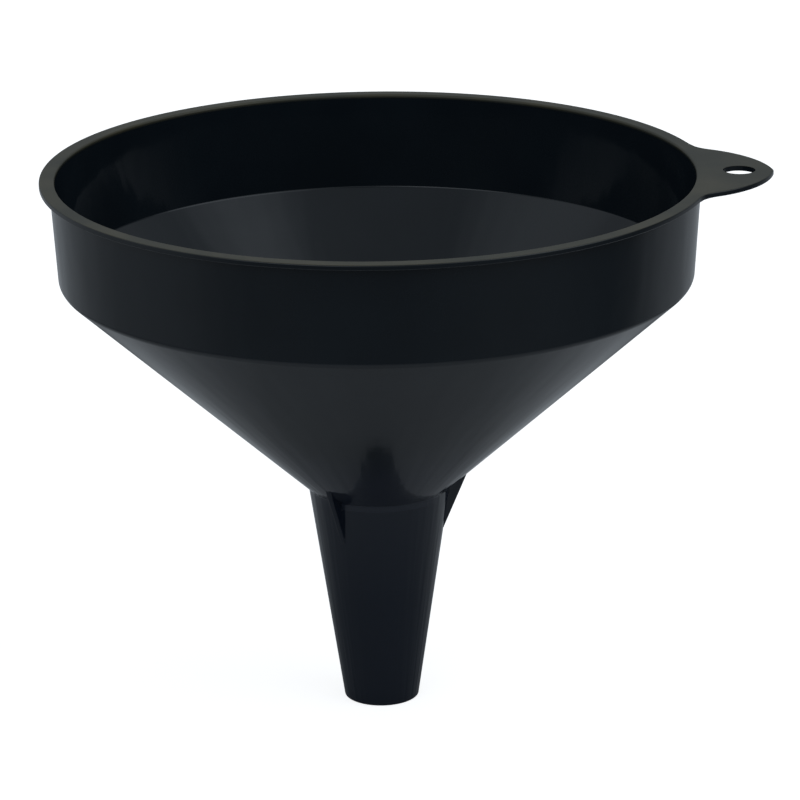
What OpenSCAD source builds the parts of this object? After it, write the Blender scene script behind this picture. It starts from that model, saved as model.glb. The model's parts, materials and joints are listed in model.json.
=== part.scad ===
// Wide-mouth pouring funnel, moulded in black polyethylene: a flat lip with a hanging tab, an
// upright collar, a cone, a tapered spout, and air-vent ribs in the angle between the last two.
// The origin is the centre of the spout's outlet. +Z runs up the axis to the mouth, and the
// hanging tab points along +X.

/* [Lip] */
// Outside diameter of the lip
lip_d = 250; // [240:1:260]
// Width of the lip's flat top, from the mouth to the outer edge
lip_w = 5.7; // [4.5:0.1:8]
// Thickness of the lip and the hanging tab
lip_t = 2; // [1.4:0.1:2.4]
// Radius of the rounded edge of the mouth
mouth_round = 0.8; // [0.2:0.1:1]
// Radius of the bend under the lip, where it meets the collar
lip_bend = 0.8; // [0.3:0.1:1.5]

/* [Collar] */
// Height of the collar, from the cone's outer edge to the top of the lip
collar_h = 38.5; // [30:0.5:50]
// How far the collar draws in between the lip and the cone
collar_draw = 2.3; // [1:0.1:4]

/* [Cone] */
// Height of the cone
cone_h = 84.5; // [75:0.5:95]
// Radius of the bend between the collar and the cone, on the outside
shoulder_bend = 3.2; // [2.6:0.1:5]
// Radius of the bend between the cone and the spout, on the outside
neck_bend = 1.2; // [1:0.1:4]

/* [Spout] */
// Height of the spout, from the outlet to the cone
spout_h = 86; // [75:0.5:100]
// Outside diameter where the spout meets the cone
spout_top_d = 54; // [48:0.5:60]
// Outside diameter of the outlet
outlet_d = 28.5; // [24:0.5:32]
// Radius of the rounding on the outlet's two edges
outlet_round = 0.5; // [0.3:0.1:0.8]

/* [Wall] */
// Thickness of the collar, the cone and the spout
wall = 2; // [1.8:0.1:2.4]

/* [Vent ribs] */
// Thickness of a rib
rib_t = 2; // [1.4:0.1:3]
// Radius at which a rib's outer edge meets the cone
rib_reach = 34.5; // [32:0.5:40]
// How far a rib runs down the spout
rib_drop = 17.5; // [12:0.5:25]
// Angle from the tab's centre line to the first rib
rib_turn = -2.8; // [-60:0.1:60]

/* [Hanging tab] */
// How far the tab stands out beyond the lip
tab_reach = 23; // [22:0.5:28]
// Radius of the tab's tip
tab_tip_r = 5; // [3:0.5:8]
// Radius of the tab's two long side curves
tab_side_r = 42; // [38:0.5:50]
// How far the centre of each side curve lies across the tab's centre line
tab_side_shift = 6.5; // [3:0.5:9]
// Radius of the hollow curves that run from the tab into the lip
tab_root_r = 14.5; // [8:0.5:20]
// Diameter of the hanging hole
hole_d = 12; // [8:0.5:13]
// Distance from the tip of the tab to the centre of the hole
hole_inset = 12.8; // [11:0.1:14]

/* [Hidden] */

$fn = 180;
// flat steps in the arc of a rounded corner
bend_steps = 8;
// flat steps in each curve of the tab's outline
tab_steps = 12;
// overlap that carries a cutting shape past the face it cuts
past = 1;
// gap at which a root curve of the tab stops short of the lip, as a feather edge can't be moulded
root_gap = 0.15;
// colours of the moulding, paler on the lip and the tab, whose flat tops catch the light
lip_color = [0.20, 0.20, 0.19];
body_color = [0.11, 0.12, 0.13];
spout_color = [0.08, 0.09, 0.12];

// ribs, equally spaced, the first one below the tab
rib_count = 3;
lip_r = lip_d / 2;
shoulder_z = spout_h + cone_h;
total_h = shoulder_z + collar_h;
lip_z = total_h - lip_t;
mouth_r = lip_r - lip_w;
collar_draft = atan(collar_draw / collar_h);
collar_top_r = mouth_r + wall / cos(collar_draft);
shoulder_r = collar_top_r - collar_draw;
spout_draft = atan((spout_top_d - outlet_d) / 2 / spout_h);

// corners of the outer face, from the outlet up to the top of the collar
outer = [
    [outlet_d / 2, 0],
    [spout_top_d / 2, spout_h],
    [shoulder_r, shoulder_z],
    [collar_top_r, total_h]
];

// corners of the inner face, from the outlet up to the mouth
inner = [
    [outlet_d / 2 - wall / cos(spout_draft), 0],
    inward(outer[0], outer[1], outer[2]),
    inward(outer[1], outer[2], outer[3]),
    [mouth_r, total_h]
];

// where the collar's outer face meets the underside of the lip
under_lip = [at_height(outer[2], outer[3], lip_z), lip_z];

// heights at which the moulding is divided, just clear of its bends
neck_cut = spout_h - 2 * neck_bend;
shoulder_cut = shoulder_z + shoulder_bend;

function unit(v) = v / norm(v);
function left_of(v) = [-v.y, v.x];
function polar(r, a) = [r * cos(a), r * sin(a)];
function mirrored(points) = [for (i = [len(points) - 1:-1:0]) [points[i].x, -points[i].y]];
function at_height(a, b, z) = a.x + (b.x - a.x) * (z - a.y) / (b.y - a.y);
function at_radius(a, b, r) = a.y + (b.y - a.y) * (r - a.x) / (b.x - a.x);

// the corner that lies one wall thickness inside corner b of the path a, b, c
function inward(a, b, c) =
    let (n = left_of(unit(b - a)), m = left_of(unit(c - b)))
    b + wall * (n + m) / (1 + n * m);

// the angle between sides a and b of a triangle whose third side is c
function corner_angle(a, b, c) = acos((a * a + b * b - c * c) / (2 * a * b));

function arc(centre, r, from, to, steps) =
    [for (i = [0:steps]) centre + polar(r, from + (to - from) * i / steps)];

// the arc of radius r that rounds corner b of the path a, b, c
function bend(a, b, c, r) =
    let (
        u = unit(a - b),
        v = unit(c - b),
        half = acos(u * v) / 2,
        centre = b + unit(u + v) * r / sin(half),
        start = b + u * r / tan(half) - centre,
        end = b + v * r / tan(half) - centre,
        from = atan2(start.y, start.x),
        turn = (atan2(end.y, end.x) - from + 540) % 360 - 180
    )
    arc(centre, r, from, from + turn, bend_steps);

function outer_face() = concat(
    bend(inner[0], outer[0], outer[1], outlet_round),
    bend(outer[0], outer[1], outer[2], neck_bend),
    bend(outer[1], outer[2], outer[3], shoulder_bend)
);

function inner_face() = concat(
    bend(inner[3], inner[2], inner[1], shoulder_bend - wall),
    bend(inner[2], inner[1], inner[0], neck_bend + wall),
    bend(inner[1], inner[0], outer[0], outlet_round)
);

// the half-section of the whole moulding without the tab and the ribs
module section() {
    polygon(concat(
        outer_face(),
        bend(outer[2], under_lip, [lip_r, lip_z], lip_bend),
        [[lip_r, lip_z], [lip_r, total_h]],
        bend([lip_r, total_h], inner[3], inner[2], mouth_round),
        inner_face()
    ));
}

// the part of the section that lies between two heights, turned about the axis
module ring_between(low, high) {
    rotate_extrude()
    intersection() {
        section();
        translate([0, low])
        square([lip_r + past, high - low]);
    }
}

// everything inside the outer face of the cone and the spout
module core() {
    rotate_extrude()
    polygon(concat([[0, 0]], outer_face(), [[0, shoulder_z]]));
}

module rim_lip() {
    color(lip_color)
    ring_between(lip_z, total_h + past);
}

module collar_wall() {
    color(body_color)
    ring_between(shoulder_cut, lip_z);
}

module cone() {
    color(body_color)
    ring_between(neck_cut, shoulder_cut);
}

module spout() {
    color(spout_color)
    ring_between(-past, neck_cut);
}

// a rib's outer edge is straight, and its ends run on into the wall before they are trimmed
module rib_plate() {
    foot_z = spout_h - rib_drop;
    foot = [at_height(outer[0], outer[1], foot_z), foot_z];
    head = [rib_reach, at_radius(outer[1], outer[2], rib_reach)];
    run_on = past * unit(head - foot);
    low = foot - run_on;
    high = head + run_on;
    rotate([90, 0, 0])
    linear_extrude(rib_t, center = true)
    polygon([[0, low.y], low, high, [0, high.y]]);
}

module vent_rib(i) {
    color(body_color)
    rotate([0, 0, rib_turn + i * 360 / rib_count])
    difference() {
        rib_plate();
        core();
    }
}

// one side of the tab's outline: the tip, a side curve, and the root curve up to where it stops
function tab_side_points() =
    let (
        tip_centre = [lip_r + tab_reach - tab_tip_r, 0],
        tip_angle = asin(tab_side_shift / (tab_side_r - tab_tip_r)),
        side_centre = tip_centre - polar(tab_side_r - tab_tip_r, tip_angle),
        root_gap_r = lip_r + root_gap,
        side_to_root = tab_side_r + tab_root_r,
        axis_to_root = lip_r + tab_root_r,
        side_angle = atan2(-side_centre.y, -side_centre.x)
            - corner_angle(norm(side_centre), side_to_root, axis_to_root),
        root_centre = side_centre + polar(side_to_root, side_angle),
        root_stop = atan2(root_centre.y, root_centre.x)
            + corner_angle(axis_to_root, tab_root_r, root_gap_r)
    )
    concat(
        arc(tip_centre, tab_tip_r, 0, tip_angle, tab_steps),
        arc(side_centre, tab_side_r, tip_angle, side_angle, tab_steps),
        arc(root_centre, tab_root_r, side_angle - 180, root_stop - 180, tab_steps)
    );

module tab_outline() {
    side = tab_side_points();
    stop = side[len(side) - 1];
    inside = unit(stop) * (lip_r - past);
    half = concat(side, [inside]);
    polygon(concat(mirrored(half), half));
}

module hang_tab() {
    color(lip_color)
    translate([0, 0, lip_z])
    difference() {
        linear_extrude(lip_t)
        tab_outline();
        translate([0, 0, -past])
        cylinder(r = lip_r, h = lip_t + 2 * past);
        translate([lip_r + tab_reach - hole_inset, 0, -past])
        cylinder(d = hole_d, h = lip_t + 2 * past);
    }
}

rim_lip();
collar_wall();
cone();
spout();
vent_rib(0);  // vent_rib_1
vent_rib(1);  // vent_rib_2
vent_rib(2);  // vent_rib_3
hang_tab();
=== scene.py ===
import json
import math

import bmesh
import bpy
from mathutils import Matrix, Vector
from mathutils.bvhtree import BVHTree


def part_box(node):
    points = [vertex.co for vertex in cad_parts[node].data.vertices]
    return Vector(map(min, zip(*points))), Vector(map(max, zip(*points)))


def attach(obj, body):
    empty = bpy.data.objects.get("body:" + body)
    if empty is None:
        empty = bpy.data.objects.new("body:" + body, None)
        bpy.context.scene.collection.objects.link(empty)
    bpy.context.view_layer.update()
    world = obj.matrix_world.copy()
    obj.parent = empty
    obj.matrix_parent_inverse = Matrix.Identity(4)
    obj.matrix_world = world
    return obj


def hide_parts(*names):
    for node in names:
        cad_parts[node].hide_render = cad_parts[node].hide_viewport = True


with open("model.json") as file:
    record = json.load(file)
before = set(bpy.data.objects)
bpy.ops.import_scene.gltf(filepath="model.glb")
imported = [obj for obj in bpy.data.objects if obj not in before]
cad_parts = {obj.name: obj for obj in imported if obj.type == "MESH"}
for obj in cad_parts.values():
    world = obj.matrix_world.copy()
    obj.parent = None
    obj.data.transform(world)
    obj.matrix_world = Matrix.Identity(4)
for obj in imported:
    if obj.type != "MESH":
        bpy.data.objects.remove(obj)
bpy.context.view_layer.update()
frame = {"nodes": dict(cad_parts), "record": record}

# ---------------------------------------------------------------- sizes that the frame doesn't hold
MM = 0.001
SHOULDER_BEND = 3.2 * MM
NECK_BEND = 1.2 * MM
OUTLET_ROUND = 0.5 * MM
MOUTH_ROUND = 0.8 * MM
LIP_BEND = 0.8 * MM
LIP_EDGE_ROUND = 0.5 * MM
HOLE_EDGE_ROUND = 0.12 * MM

TAB_TIP_R = 5.0 * MM
TAB_SIDE_R = 42.0 * MM
TAB_SIDE_SHIFT = 6.5 * MM
TAB_ROOT_R = 14.5 * MM
TAB_ROOT_GAP = 0.15 * MM

RIB_THICK = 2.0 * MM
RIB_EDGE_ROUND = 0.45 * MM
RIB_FLARE = 0.35 * MM
# how far a rib's outer edge runs on into the wall, and how far inside the neck its rows meet
RIB_RUN_ON = 0.6 * MM
RIB_ROOT = 1.2 * MM
# depths of a rib's rows of points below its outer edge in mm, close together where the edge rounds
RIB_DEPTHS = (0, 0.02, 0.08, 0.18, 0.31, 0.45, 0.9, 1.6, 2.3, 3.0, 3.7, 4.3, 4.8, 5.2)

# how fast the tab's edge rounds off with its distance from the lip, and the lip's edge beside the tab
TAB_EDGE_RISE = 0.8
LIP_EDGE_RISE = 0.1

# how finely the meshes are divided
SEGMENTS = 288
HOLE_SEGMENTS = 72
RING_SPACING = 5.0 * MM
BEND_STEPS = 10
OUTLINE_STEPS = 24
EDGE_STEPS = 6
HOLE_EDGE_STEPS = 5
RIB_STATIONS = 24
MERGE_GAP = 0.0001 * MM
CRISP_ANGLE = math.radians(35)


# ---------------------------------------------------------------- plane geometry, in (radius, height)
def polar(radius, angle):
    return Vector((radius * math.cos(angle), radius * math.sin(angle)))


def angle_of(point):
    return math.atan2(point.y, point.x)


def cross(a, b):
    return a.x * b.y - a.y * b.x


def meet(line_a, line_b):
    """Where two lines cross, each given by two points."""
    a, da = line_a[0], line_a[1] - line_a[0]
    b, db = line_b[0], line_b[1] - line_b[0]
    return a + da * (cross(b - a, db) / cross(da, db))


def at_height(line, z):
    return meet(line, (Vector((0, z)), Vector((1, z))))


def arc(centre, radius, start, end, steps):
    return [centre + polar(radius, start + (end - start) * i / steps) for i in range(steps + 1)]


def bend(a, b, c, radius):
    """The arc that rounds corner b of the path a, b, c."""
    u, v = (a - b).normalized(), (c - b).normalized()
    half = math.acos(u.dot(v)) / 2
    centre = b + (u + v).normalized() * radius / math.sin(half)
    start = angle_of(b + u * radius / math.tan(half) - centre)
    turn = angle_of(b + v * radius / math.tan(half) - centre) - start
    turn = (turn + math.pi) % math.tau - math.pi
    return arc(centre, radius, start, start + turn, BEND_STEPS)


def with_rings(path):
    """The path with extra points, so that no stretch of it is longer than the ring spacing."""
    out = [path[0]]
    for a, b in zip(path, path[1:]):
        count = max(1, math.ceil((b - a).length / RING_SPACING))
        out += [a.lerp(b, (i + 1) / count) for i in range(count)]
    return out


# ---------------------------------------------------------------- the funnel's section, read from the frame
def wall_lines(node):
    """The inner and the outer face of a turned CAD node's straight stretch, each as two points.

    Rays run outward from the axis at two heights, a little aside of the mesh's edges along +X.
    """
    tree = BVHTree.FromPolygons(
        [v.co for v in frame["nodes"][node].data.vertices],
        [p.vertices for p in frame["nodes"][node].data.polygons],
    )
    low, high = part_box(node)
    out = Vector((1, 0.001, 0)).normalized()
    past = 0.01 * MM
    faces = ([], [])
    for share in (0.3, 0.7):
        start = Vector((0, 0, low.z + share * (high.z - low.z)))
        for face in faces:
            start = tree.ray_cast(start, out)[0] + out * past
            face.append(Vector((start.xy.length - past, start.z)))
    return faces


spout_in, spout_out = wall_lines("spout")
cone_in, cone_out = wall_lines("cone")
collar_in, collar_out = wall_lines("collar_wall")

lip_low, lip_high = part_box("rim_lip")
LIP_Z, TOP_Z = lip_low.z, lip_high.z
LIP_R = min(lip_high.x, lip_high.y, -lip_low.x, -lip_low.y)
SHOULDER_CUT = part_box("collar_wall")[0].z
NECK_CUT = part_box("spout")[1].z

outlet_in, outlet_out = at_height(spout_in, 0), at_height(spout_out, 0)
neck_in, neck_out = meet(spout_in, cone_in), meet(spout_out, cone_out)
shoulder_in, shoulder_out = meet(cone_in, collar_in), meet(cone_out, collar_out)
under_lip = at_height(collar_out, LIP_Z)
mouth = at_height(collar_in, TOP_Z)
WALL = (outlet_out - outlet_in).x


# ---------------------------------------------------------------- making pieces
def tidy_mesh(name, verts, faces):
    """A closed mesh with merged points and outward normals."""
    mesh = bpy.data.meshes.new(name)
    bm = bmesh.new()
    points = [bm.verts.new(v) for v in verts]
    for face in faces:
        bm.faces.new([points[i] for i in face])
    bmesh.ops.remove_doubles(bm, verts=bm.verts, dist=MERGE_GAP)
    bmesh.ops.dissolve_degenerate(bm, edges=bm.edges, dist=MERGE_GAP)
    bmesh.ops.recalc_face_normals(bm, faces=bm.faces)
    bm.to_mesh(mesh)
    bm.free()
    return mesh


def piece(name, mesh, material):
    """The visible piece that stands for the CAD node of the same name, shaded smooth but for corners."""
    made = bpy.data.objects.new(name + "_moulding", mesh)
    bpy.context.scene.collection.objects.link(made)
    mesh.materials.append(material)
    mesh.polygons.foreach_set("use_smooth", [True] * len(mesh.polygons))
    mesh.set_sharp_from_angle(angle=CRISP_ANGLE)
    weighted = made.modifiers.new("even_shading", "WEIGHTED_NORMAL")
    weighted.keep_sharp = True
    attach(made, "root")
    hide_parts(name)
    return made


def strip(name, columns, closed):
    """A skin over a row of columns, each a closed loop of the same number of points."""
    count = len(columns[0])
    verts = [p for column in columns for p in column]
    faces = []
    last = len(columns) if closed else len(columns) - 1
    for k in range(last):
        here, there = k * count, (k + 1) % len(columns) * count
        for i in range(count):
            j = (i + 1) % count
            faces.append((here + i, here + j, there + j, there + i))
    if not closed:
        faces.append(tuple(range(count)))
        faces.append(tuple(range((len(columns) - 1) * count, len(columns) * count)))
    return tidy_mesh(name, verts, faces)


def turned(name, section, segments=SEGMENTS):
    """A closed section turned about the axis."""
    columns = []
    for k in range(segments):
        turn = math.tau * k / segments
        columns.append([(p.x * math.cos(turn), p.x * math.sin(turn), p.y) for p in section])
    return strip(name, columns, closed=True)


# ---------------------------------------------------------------- spout, cone and collar
def spout_section():
    outer = bend(outlet_in, outlet_out, neck_out, OUTLET_ROUND) + [at_height(spout_out, NECK_CUT)]
    inner = [at_height(spout_in, NECK_CUT)] + bend(neck_in, outlet_in, outlet_out, OUTLET_ROUND)
    return with_rings(outer) + with_rings(inner)


def cone_section():
    outer = [at_height(spout_out, NECK_CUT)]
    outer += bend(outlet_out, neck_out, shoulder_out, NECK_BEND)
    outer += bend(neck_out, shoulder_out, under_lip, SHOULDER_BEND)
    outer += [at_height(collar_out, SHOULDER_CUT)]
    inner = [at_height(collar_in, SHOULDER_CUT)]
    inner += bend(mouth, shoulder_in, neck_in, SHOULDER_BEND - WALL)
    inner += bend(shoulder_in, neck_in, outlet_in, NECK_BEND + WALL)
    inner += [at_height(spout_in, NECK_CUT)]
    return with_rings(outer) + with_rings(inner)


def collar_section():
    lip_edge = Vector((LIP_R, LIP_Z))
    outer = [at_height(collar_out, SHOULDER_CUT)]
    outer += bend(shoulder_out, under_lip, lip_edge, LIP_BEND)
    inner = [at_height(collar_in, LIP_Z), at_height(collar_in, SHOULDER_CUT)]
    return with_rings(outer) + with_rings(inner)


# ---------------------------------------------------------------- lip and hanging tab
def tab_half_outline(tip_x):
    """Points and outward normals of the tab's edge, from its tip to where it runs into the lip."""
    tip_centre = Vector((tip_x - TAB_TIP_R, 0))
    span = TAB_SIDE_R - TAB_TIP_R
    tip_turn = math.asin(TAB_SIDE_SHIFT / span)
    side_centre = tip_centre - polar(span, tip_turn)
    to_side, side_to_root, to_root = side_centre.length, TAB_SIDE_R + TAB_ROOT_R, LIP_R + TAB_ROOT_R
    corner = (to_side**2 + side_to_root**2 - to_root**2) / (2 * to_side * side_to_root)
    side_turn = angle_of(-side_centre) - math.acos(corner)
    root_centre = side_centre + polar(side_to_root, side_turn)
    root_turn = angle_of(root_centre)
    outline = []
    for centre, radius, start, end in (
        (tip_centre, TAB_TIP_R, 0, tip_turn),
        (side_centre, TAB_SIDE_R, tip_turn, side_turn),
        (root_centre, -TAB_ROOT_R, side_turn, root_turn),
    ):
        first = 0 if not outline else 1
        for i in range(first, OUTLINE_STEPS + 1):
            turn = start + (end - start) * i / OUTLINE_STEPS
            outline.append((centre + polar(radius, turn), polar(1, turn)))
    return outline


def flipped(outline):
    """The outline's other half, on the far side of the tab's centre line."""
    return [(Vector((p.x, -p.y)), Vector((n.x, -n.y))) for p, n in reversed(outline)]


def edge_profile(point, normal, rounding):
    """The rounded outer edge of the lip or the tab at one point of its outline, from top to bottom."""
    profile = []
    for middle, start in ((TOP_Z - rounding, math.pi / 2), (LIP_Z + rounding, 0)):
        for i in range(EDGE_STEPS + 1):
            turn = start - math.pi / 2 * i / EDGE_STEPS
            inset = point - normal * rounding * (1 - math.cos(turn))
            profile.append((inset.x, inset.y, middle + rounding * math.sin(turn)))
    return profile


def tab_edge_round(point):
    """The tab's edge gets crisper as it runs into the lip."""
    return min(LIP_EDGE_ROUND, TAB_EDGE_RISE * (point.length - LIP_R))


def spaced(start, end, count):
    """Points between two points, without them."""
    start, end = Vector(start), Vector(end)
    return [tuple(start.lerp(end, (i + 1) / (count + 1))) for i in range(count)]


def tab_mesh(outline):
    """The tab from its edge to the lip, without its hole."""
    columns = []
    for point, normal in outline:
        inner = point.normalized() * LIP_R
        edge = edge_profile(point, normal, tab_edge_round(point))
        top, bottom = (inner.x, inner.y, TOP_Z), (inner.x, inner.y, LIP_Z)
        columns.append([top, *spaced(top, edge[0], 3), *edge, *spaced(edge[-1], bottom, 3), bottom])
    return strip("hang_tab", columns, closed=False)


def hole_cutter():
    """A turned cutter for the hanging hole, flared at both faces to soften the hole's edges."""
    hole = next(m for m in frame["record"]["mounts"] if m["name"] == "hang_hole")
    flare, clear, beyond = HOLE_EDGE_ROUND, 0.02 * MM, 2 * MM
    wide = hole["dims"]["r_mm"] * MM + flare
    low, high = LIP_Z - clear + flare, TOP_Z + clear - flare
    section = [Vector((0, LIP_Z - beyond)), Vector((wide, LIP_Z - beyond))]
    section += arc(Vector((wide, low)), flare, -math.pi / 2, -math.pi, HOLE_EDGE_STEPS)
    section += arc(Vector((wide, high)), flare, math.pi, math.pi / 2, HOLE_EDGE_STEPS)
    section += [Vector((wide, TOP_Z + beyond)), Vector((0, TOP_Z + beyond))]
    cutter = bpy.data.objects.new("hole_cutter", turned("hole_cutter", section, HOLE_SEGMENTS))
    cutter.location = (hole["pos_m"][0], hole["pos_m"][1], 0)
    bpy.context.scene.collection.objects.link(cutter)
    return cutter


def bored(mesh, cutter):
    """The mesh with the cutter's shape taken out of it."""
    blank = bpy.data.objects.new("blank", mesh)
    bpy.context.scene.collection.objects.link(blank)
    cut = blank.modifiers.new("cut", "BOOLEAN")
    cut.operation, cut.solver, cut.object = "DIFFERENCE", "EXACT", cutter
    bpy.context.view_layer.update()
    done = bpy.data.meshes.new_from_object(blank.evaluated_get(bpy.context.evaluated_depsgraph_get()))
    bpy.data.objects.remove(blank)
    bpy.data.objects.remove(cutter)
    return done


def lip_column(out, edge):
    """One closed loop of the lip's section along the direction out, with this outer edge."""
    section = [at_height(collar_in, LIP_Z)]
    section += bend(at_height(collar_in, LIP_Z), mouth, Vector((LIP_R, TOP_Z)), MOUTH_ROUND)
    loop = [(out.x * p.x, out.y * p.x, p.y) for p in section]
    return [*loop, *spaced(loop[-1], edge[0], 1), *edge, *spaced(edge[-1], loop[0], 1)]


def lip_mesh(half, stop):
    """The lip: a ring whose outer edge is rounded, except where the tab joins it."""
    tab_side = [point.normalized() for point, _ in half[: stop + 1]]
    free = half[stop:]
    root_turn = angle_of(free[-1][0])
    count = round(SEGMENTS * (1 - root_turn / math.pi))
    for i in range(1, count):
        turn = root_turn + (math.tau - 2 * root_turn) * i / count
        free.append((polar(LIP_R, turn), polar(1, turn)))
    free += flipped(half[stop:])

    columns = []
    for out in [Vector((d.x, -d.y)) for d in reversed(tab_side[1:])] + tab_side:
        joint = edge_profile(out * LIP_R, out, 0)
        columns.append(lip_column(out, joint))
    start = free[0][0]
    for point, normal in free:
        run = min((point - start).length, (point - Vector((start.x, -start.y))).length)
        rounding = min(LIP_EDGE_ROUND, tab_edge_round(start) + LIP_EDGE_RISE * run)
        columns.append(lip_column(point.normalized(), edge_profile(point, normal, rounding)))
    return strip("rim_lip", columns, closed=True)


# ---------------------------------------------------------------- vent ribs
def distance_to(line, point):
    along = (line[1] - line[0]).normalized()
    return abs(cross(along, point - line[0]))


def rib_half_thickness(from_edge, from_wall):
    """Half the plate's thickness at a point, by its distances from the rib's outer edge and the wall."""
    half = RIB_THICK / 2
    if from_edge < RIB_EDGE_ROUND:
        half -= RIB_EDGE_ROUND - math.sqrt(RIB_EDGE_ROUND**2 - (RIB_EDGE_ROUND - from_edge) ** 2)
    if from_wall < RIB_FLARE:
        half += RIB_FLARE - math.sqrt(RIB_FLARE**2 - (RIB_FLARE - from_wall) ** 2)
    return half


def rib_rows(low_z, high_z):
    """Points of the plate and its half thickness there, in rows that run from its outer edge inward.

    The outer edge runs on a little into the wall at both ends, and the rows meet inside the wall.
    """
    foot, head = at_height(spout_out, low_z), at_height(cone_out, high_z)
    along = (head - foot).normalized()
    foot, head = foot - along * RIB_RUN_ON, head + along * RIB_RUN_ON
    anchor = neck_out + Vector((-along.y, along.x)) * RIB_ROOT
    depth_of_anchor = distance_to((foot, head), anchor)
    rows = []
    for i in range(RIB_STATIONS + 1):
        edge = foot.lerp(head, i / RIB_STATIONS)
        row = []
        for depth in RIB_DEPTHS:
            p = edge.lerp(anchor, depth * MM / depth_of_anchor)
            from_wall = min(distance_to(spout_out, p), distance_to(cone_out, p))
            row.append((p, rib_half_thickness(depth * MM, from_wall)))
        rows.append(row)
    return rows


def rib_mesh(name):
    """A vent rib: a thin three-cornered plate with a rounded outer edge, flared where it meets the wall."""
    low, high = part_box(name)
    corners = [v.co for v in frame["nodes"][name].data.vertices]
    side = Vector((sum(c.x for c in corners), sum(c.y for c in corners))).normalized()
    across = Vector((-side.y, side.x))

    def place(p, offset):
        flat = side * p.x + across * offset
        return (flat.x, flat.y, p.y)

    columns = []
    for row in rib_rows(low.z, high.z):
        left = [place(p, half) for p, half in row]
        right = [place(p, -half) for p, half in reversed(row)]
        columns.append(left + right)
    return strip(name, columns, closed=False)


# ---------------------------------------------------------------- materials
# the colours were worked out from mean colours of the photographed funnel, and adjusted
BOWL_DARK, BOWL_PALE = (0.008, 0.012, 0.016), (0.011, 0.016, 0.021)
SPOUT_DARK, SPOUT_PALE = (0.0045, 0.0075, 0.0145), (0.006, 0.0105, 0.020)
# the lip's top colours are a painted sheen, lighter than the plastic of its edges
LIP_SHEEN_COOL, LIP_SHEEN_WARM = (0.051, 0.051, 0.035), (0.070, 0.062, 0.032)
# painted light: the cone is painted bluer and a little lighter where it runs into the spout, between these
# two radii
NECK_PAINTED_LIGHT = (0.0145, 0.019, 0.030)
NECK_PAINTED_LIGHT_FADE = (44 * MM, 66 * MM)

# how closely each kind of mark lies: streaks to the radian round the axis, the others to the metre
STREAKS = 9
CLOUDS, SCUFFS, WAVES = 25, 420, 70
RINGS, RING_PATCHES = 700, 18
RUBS, GRAINS = 45, 1400
# radians that count for as much as a metre of height, few so that the streaks run long
STREAK_RISE = 3
# how deep the relief of each kind is
STREAK_DEPTH, WAVE_DEPTH, RING_DEPTH = 0.22 * MM, 0.05 * MM, 0.006 * MM
RUB_DEPTH, GRAIN_DEPTH = 0.02 * MM, 0.004 * MM
# the middle of what a noise gives, where nearly all of it lies
MIDDLE = (0.3, 0.7)
# roughness of the bowl and of the spout from one streak to the next, and what a scuff adds to it
BOWL_GLOSS, SPOUT_GLOSS = (0.07, 0.10), (0.10, 0.15)
SCUFF_HAZE = 0.1
# roughness of the lip's polished edges, and what the grained top adds to it
EDGE_GLOSS = 0.12
GRAINED_HAZE = (0.36, 0.28)


def add(tree, kind, sockets=(), **settings):
    """A new shader node, with its properties, and its inputs given as values or as sockets to link."""
    made = tree.nodes.new("ShaderNode" + kind)
    for key, value in settings.items():
        setattr(made, key, value)
    for key, value in dict(sockets).items():
        if isinstance(value, bpy.types.NodeSocket):
            tree.links.new(value, made.inputs[key])
        else:
            made.inputs[key].default_value = value
    return made


def noise(tree, place, scale, detail=2.0):
    """Soft random patches from 0 to 1, this many to the unit of place, with finer ones by detail."""
    sockets = {"Vector": place, "Scale": scale, "Detail": detail}
    return add(tree, "TexNoise", sockets).outputs[0]


def spread_to(tree, value, source, target):
    """The value carried from one range to another, and held at the target's ends."""
    sockets = {"Value": value, "From Min": source[0], "From Max": source[1]}
    sockets |= {"To Min": target[0], "To Max": target[1]}
    return add(tree, "MapRange", sockets).outputs[0]


def calculate(tree, operation, a, b):
    return add(tree, "Math", {0: a, 1: b}, operation=operation).outputs[0]


def raised(tree, height, depth, below=None):
    """A normal that follows this height, which is from 0 to 1, at this depth in metres."""
    sockets = {"Height": height, "Distance": depth, "Strength": 1.0}
    if below:
        sockets["Normal"] = below
    return add(tree, "Bump", sockets).outputs[0]


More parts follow.
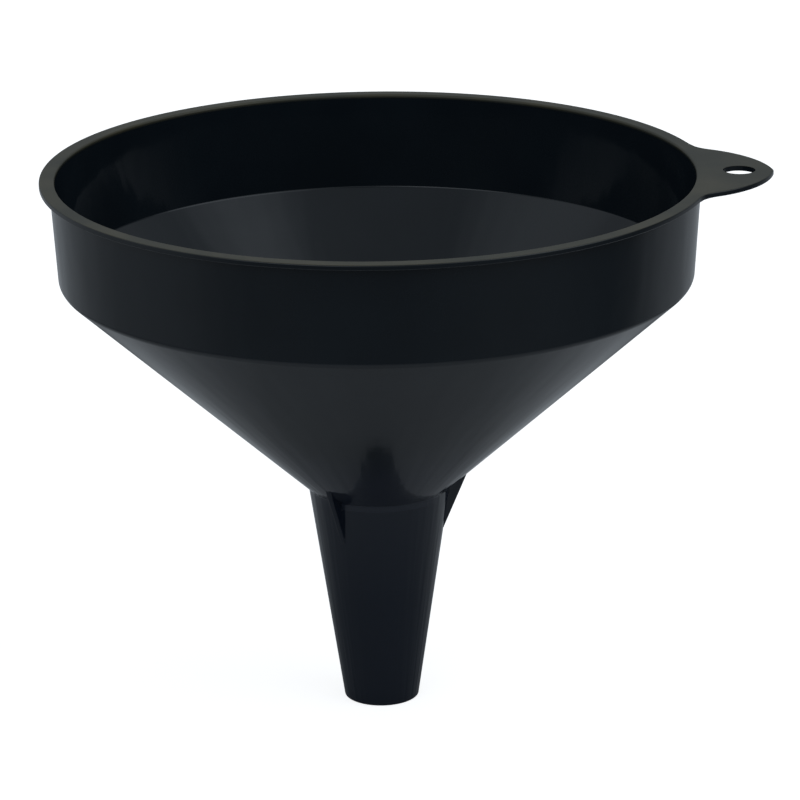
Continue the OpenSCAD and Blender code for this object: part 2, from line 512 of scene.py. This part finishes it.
class Surface:
    """A moulded plastic whose colour, gloss and relief follow the funnel's own coordinates."""

    def __init__(self, name):
        self.material = bpy.data.materials.new(name)
        self.material.use_nodes = True
        self.tree = self.material.node_tree
        self.shader = self.tree.nodes["Principled BSDF"]
        self.place = add(self.tree, "TexCoord").outputs["Object"]
        apart = add(self.tree, "SeparateXYZ", {0: self.place})
        flat = add(self.tree, "CombineXYZ", {0: apart.outputs[0], 1: apart.outputs[1]}).outputs[0]
        self.height = apart.outputs[2]
        self.radius = add(self.tree, "VectorMath", {0: flat}, operation="LENGTH").outputs["Value"]
        self.heading = add(self.tree, "VectorMath", {0: flat}, operation="NORMALIZE").outputs[0]

    def turned_marks(self, per_metre):
        """Fine rings round the axis, as a lathe leaves them in a mould, fading in and out."""
        where = add(self.tree, "CombineXYZ", {0: self.radius, 1: self.height}).outputs[0]
        rings = noise(self.tree, where, per_metre, 1.0)
        patches = spread_to(self.tree, noise(self.tree, self.place, RING_PATCHES), (0.42, 0.62), (0.15, 1))
        return calculate(self.tree, "MULTIPLY", rings, patches)

    def flow_lines(self, around):
        """Faint streaks that run up the wall, the way the plastic flowed."""
        rise = add(self.tree, "CombineXYZ", {2: self.height}).outputs[0]
        slow = add(self.tree, "VectorMath", {0: rise, 1: (STREAK_RISE,) * 3}, operation="MULTIPLY")
        slow = slow.outputs[0]
        where = add(self.tree, "VectorMath", {0: self.heading, 1: slow}, operation="ADD").outputs[0]
        return noise(self.tree, where, around, 1.0)

    def blend(self, low, high, share):
        """A colour between two others, each a colour or a socket, by a share from 0 to 1."""
        low, high = [c if isinstance(c, bpy.types.NodeSocket) else (*c, 1) for c in (low, high)]
        sockets = {"Factor": share, 6: low, 7: high}
        return add(self.tree, "Mix", data_type="RGBA", sockets=sockets).outputs[2]

    def finished(self, colour, roughness, normal):
        self.tree.links.new(colour, self.shader.inputs["Base Color"])
        self.tree.links.new(roughness, self.shader.inputs["Roughness"])
        self.tree.links.new(normal, self.shader.inputs["Normal"])
        return self.material


def polished_black(name, dark, pale, neck, gloss):
    """Polyethylene from a polished mould: even and glossy, with faint rings, streaks and scuffs."""
    s = Surface(name)
    streaks = s.flow_lines(STREAKS)
    clouds = noise(s.tree, s.place, CLOUDS, 4.0)
    colour = s.blend(dark, pale, spread_to(s.tree, clouds, MIDDLE, (0, 1)))
    # painted light near the neck: within these radii the bowl takes the lighter, bluer neck colour
    colour = s.blend(neck, colour, spread_to(s.tree, s.radius, NECK_PAINTED_LIGHT_FADE, (0, 1)))
    scuffs = noise(s.tree, s.place, SCUFFS, 6.0)
    scuffs = spread_to(s.tree, scuffs, (0.62, 0.75), (0, SCUFF_HAZE))
    even = spread_to(s.tree, streaks, MIDDLE, gloss)
    normal = raised(s.tree, streaks, STREAK_DEPTH)
    normal = raised(s.tree, noise(s.tree, s.place, WAVES, 1.0), WAVE_DEPTH, normal)
    normal = raised(s.tree, s.turned_marks(RINGS), RING_DEPTH, normal)
    return s.finished(colour, calculate(s.tree, "ADD", even, scuffs), normal)


def satin_black(name, edge, sheen_cool, sheen_warm):
    """The lip and the tab: a grained top painted light grey as a painted sheen, and dark polished edges
    below it.
    """
    s = Surface(name)
    clouds = noise(s.tree, s.place, RUBS, 5.0)
    # painted sheen: the top face is painted lighter than the dark edges of the same plastic
    top = spread_to(s.tree, s.height, (TOP_Z - 0.25 * MM, TOP_Z - 0.02 * MM), (0, 1))
    # the top's painted sheen runs on across the rounded mouth as a painted highlight, and ends on the
    # upright wall below it
    over = spread_to(s.tree, s.height, (TOP_Z - 1.6 * MM, TOP_Z - 0.5 * MM), (0, 1))
    inside = spread_to(s.tree, s.radius, (mouth.x + 0.8 * MM, mouth.x + 1.2 * MM), (1, 0))
    top = calculate(s.tree, "MAXIMUM", top, calculate(s.tree, "MULTIPLY", over, inside))
    colour = s.blend(sheen_cool, sheen_warm, spread_to(s.tree, clouds, (0.35, 0.65), (0, 1)))
    colour = s.blend(edge, colour, top)
    uneven = spread_to(s.tree, clouds, MIDDLE, GRAINED_HAZE)
    roughness = calculate(s.tree, "MULTIPLY", uneven, top)
    normal = raised(s.tree, clouds, RUB_DEPTH)
    normal = raised(s.tree, noise(s.tree, s.place, GRAINS, 2.0), GRAIN_DEPTH, normal)
    return s.finished(colour, calculate(s.tree, "ADD", roughness, EDGE_GLOSS), normal)


lip_black = satin_black("lip_black", BOWL_DARK, LIP_SHEEN_COOL, LIP_SHEEN_WARM)
bowl_black = polished_black("bowl_black", BOWL_DARK, BOWL_PALE, NECK_PAINTED_LIGHT, BOWL_GLOSS)
spout_black = polished_black("spout_black", SPOUT_DARK, SPOUT_PALE, SPOUT_PALE, SPOUT_GLOSS)

# ---------------------------------------------------------------- pieces
half_outline = tab_half_outline(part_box("hang_tab")[1].x)
root_stop = max(i for i, (p, _) in enumerate(half_outline) if p.length - LIP_R >= TAB_ROOT_GAP)
tab_outline = flipped(half_outline[1 : root_stop + 1]) + half_outline[: root_stop + 1]

piece("rim_lip", lip_mesh(half_outline, root_stop), lip_black)
piece("hang_tab", bored(tab_mesh(tab_outline), hole_cutter()), lip_black)
piece("collar_wall", turned("collar_wall", collar_section()), bowl_black)
piece("cone", turned("cone", cone_section()), bowl_black)
piece("spout", turned("spout", spout_section()), spout_black)
for rib in sorted(name for name in frame["nodes"] if name.startswith("vent_rib")):
    piece(rib, rib_mesh(rib), spout_black)

# ---------------------------------------------------------------- stage: floor and soft studio light
FLOOR_R = 6.0
FLOOR_WHITE, FLOOR_GLOW = 0.8, 0.8
TABLE_R = 0.42
TABLE_SIDES = 64
TABLE_DROP = 0.05 * MM
# the table has a painted shadow, greyer below the funnel, and it fades out at its edge, over these radii
TABLE_PAINTED_SHADOW, TABLE_PALE = 0.5, 0.78
PAINTED_SHADOW_R, PALE_R, FADE_R = 0.08, 0.18, 0.24
TABLE_EDGE = 0.25


def stage_sheet(name, corners, height, albedo, glow):
    """A flat white sheet of the stage, with matt colour and some light of its own."""
    mesh = bpy.data.meshes.new(name)
    mesh.from_pydata([(x, y, height) for x, y in corners], [], [tuple(range(len(corners)))])
    material = bpy.data.materials.new(name + "_white")
    material.use_nodes = True
    shader = material.node_tree.nodes["Principled BSDF"]
    shader.inputs["Base Color"].default_value = (albedo, albedo, albedo, 1)
    shader.inputs["Roughness"].default_value = 1.0
    shader.inputs["Specular IOR Level"].default_value = 0.0
    shader.inputs["Emission Color"].default_value = (1, 1, 1, 1)
    shader.inputs["Emission Strength"].default_value = glow
    material.cycles.emission_sampling = "NONE"
    mesh.materials.append(material)
    sheet = bpy.data.objects.new(name, mesh)
    bpy.context.scene.collection.objects.link(sheet)
    return sheet


def make_floor():
    """The floor that only the camera sees, which glows a little."""
    corners = [(-FLOOR_R, -FLOOR_R), (FLOOR_R, -FLOOR_R), (FLOOR_R, FLOOR_R), (-FLOOR_R, FLOOR_R)]
    floor = stage_sheet("floor", corners, 0, FLOOR_WHITE, FLOOR_GLOW)
    floor.visible_glossy = False
    floor.visible_diffuse = False
    floor.visible_shadow = False


def make_table():
    """The table that the funnel's gloss and underside see in place of the floor."""
    corners = [tuple(polar(TABLE_R, math.tau * i / TABLE_SIDES)) for i in range(TABLE_SIDES)]
    table = stage_sheet("table", corners, -TABLE_DROP, TABLE_PAINTED_SHADOW, 0)
    tree = table.active_material.node_tree
    place = add(tree, "TexCoord").outputs["Object"]
    radius = add(tree, "VectorMath", {0: place}, operation="LENGTH").outputs["Value"]
    # painted shadow below the funnel: the table's colour is greyer near its middle
    paler = spread_to(tree, radius, (PAINTED_SHADOW_R, PALE_R), (TABLE_PAINTED_SHADOW, TABLE_PALE))
    fading = spread_to(tree, radius, (FADE_R, TABLE_R), (1, TABLE_EDGE))
    colour = calculate(tree, "MULTIPLY", paler, fading)
    tree.links.new(colour, tree.nodes["Principled BSDF"].inputs["Base Color"])
    table.visible_camera = False


class Studio:
    """A dim room with large soft lights far off in it, and a plain white backdrop."""

    def __init__(self, tint):
        world = bpy.data.worlds.new("studio")
        world.use_nodes = True
        self.tree = world.node_tree
        self.room = self.tree.nodes["Background"]
        self.room.inputs["Color"].default_value = (*tint, 1)
        self.direction = add(self.tree, "TexCoord").outputs["Generated"]
        self.glow = None
        bpy.context.scene.world = world

    def soft_light(self, azimuth, elevation, spread, strength):
        """A round light that fades to nothing this far from its middle, all in degrees."""
        turn, rise = math.radians(azimuth), math.radians(elevation)
        to_light = (math.cos(turn) * math.cos(rise), math.sin(turn) * math.cos(rise), math.sin(rise))
        facing = add(self.tree, "VectorMath", {0: self.direction, 1: to_light}, operation="DOT_PRODUCT")
        sockets = {"Value": facing.outputs["Value"], "From Min": math.cos(math.radians(spread))}
        sockets |= {"From Max": 1, "To Min": 0, "To Max": strength}
        glow = add(self.tree, "MapRange", sockets, interpolation_type="SMOOTHSTEP").outputs[0]
        self.glow = calculate(self.tree, "ADD", self.glow, glow) if self.glow else glow

    def finish(self):
        """The camera sees the backdrop, and everything else sees the lights."""
        self.tree.links.new(self.glow, self.room.inputs["Strength"])
        backdrop = add(self.tree, "Background", {"Color": (1, 1, 1, 1), "Strength": 1.0})
        seen = add(self.tree, "LightPath").outputs["Is Camera Ray"]
        both = add(self.tree, "MixShader", {0: seen, 1: self.room.outputs[0], 2: backdrop.outputs[0]})
        output = self.tree.nodes["World Output"]
        self.tree.links.new(both.outputs[0], output.inputs["Surface"])


make_floor()
make_table()
studio = Studio(tint=(0.91, 1.0, 1.09))
# This isn't a designed set of lights. A fitting program chose the directions, the widths and the
# strengths from the brightness of the photographed funnel. They were then rounded, and a few of
# the strengths were changed. First, in front: low, then high on the left and on the right.
studio.soft_light(azimuth=-90, elevation=15, spread=30, strength=0.4)
studio.soft_light(azimuth=-120, elevation=30, spread=30, strength=0.85)
studio.soft_light(azimuth=-30, elevation=30, spread=45, strength=0.5)
# lights high on the two sides, and one overhead
studio.soft_light(azimuth=-15, elevation=45, spread=30, strength=0.45)
studio.soft_light(azimuth=180, elevation=45, spread=30, strength=0.2)
studio.soft_light(azimuth=60, elevation=80, spread=60, strength=0.28)
# wide faint ones, about level with the funnel, behind it and at its two sides
studio.soft_light(azimuth=90, elevation=0, spread=80, strength=0.28)
studio.soft_light(azimuth=180, elevation=15, spread=60, strength=0.22)
studio.soft_light(azimuth=-15, elevation=15, spread=80, strength=0.08)
# wide faint ones from below
studio.soft_light(azimuth=-90, elevation=-60, spread=80, strength=0.11)
studio.soft_light(azimuth=180, elevation=-20, spread=80, strength=0.07)
studio.soft_light(azimuth=30, elevation=-40, spread=30, strength=0.14)
studio.soft_light(azimuth=-30, elevation=-60, spread=45, strength=0.08)
studio.finish()
bpy.context.scene.view_settings.view_transform = "Standard"

# ---------------------------------------------------------------- camera
# fitted to the outlines of the photographed funnel, with the azimuth then adjusted
CAMERA_AZIMUTH = math.radians(1.37)
CAMERA_ELEVATION = 0.3182
CAMERA_DISTANCE = 1.5078
CAMERA_ROLL = -0.01073
AIM_RIGHT, AIM_HEIGHT = 0.00825, 0.11931
SENSOR_WIDTH_MM, LENS_MM = 36, 178.9
CLIP_END = 50


def make_camera():
    """A long lens, a little above the mouth, almost straight in front."""
    right = Vector((math.cos(CAMERA_AZIMUTH), math.sin(CAMERA_AZIMUTH), 0))
    level = Vector((-right.y, right.x, 0))
    ahead = level * math.cos(CAMERA_ELEVATION) - Vector((0, 0, math.sin(CAMERA_ELEVATION)))
    up = right.cross(ahead)
    c, s = math.cos(CAMERA_ROLL), math.sin(CAMERA_ROLL)
    aim = right * AIM_RIGHT + Vector((0, 0, AIM_HEIGHT))
    place = aim - ahead * CAMERA_DISTANCE
    data = bpy.data.cameras.new("camera")
    data.sensor_width, data.lens = SENSOR_WIDTH_MM, LENS_MM
    data.clip_end = CLIP_END
    camera = bpy.data.objects.new("camera", data)
    turn = Matrix((right * c + up * s, up * c - right * s, -ahead)).transposed()
    camera.matrix_world = Matrix.Translation(place) @ turn.to_4x4()
    bpy.context.scene.collection.objects.link(camera)
    bpy.context.scene.camera = camera


make_camera()
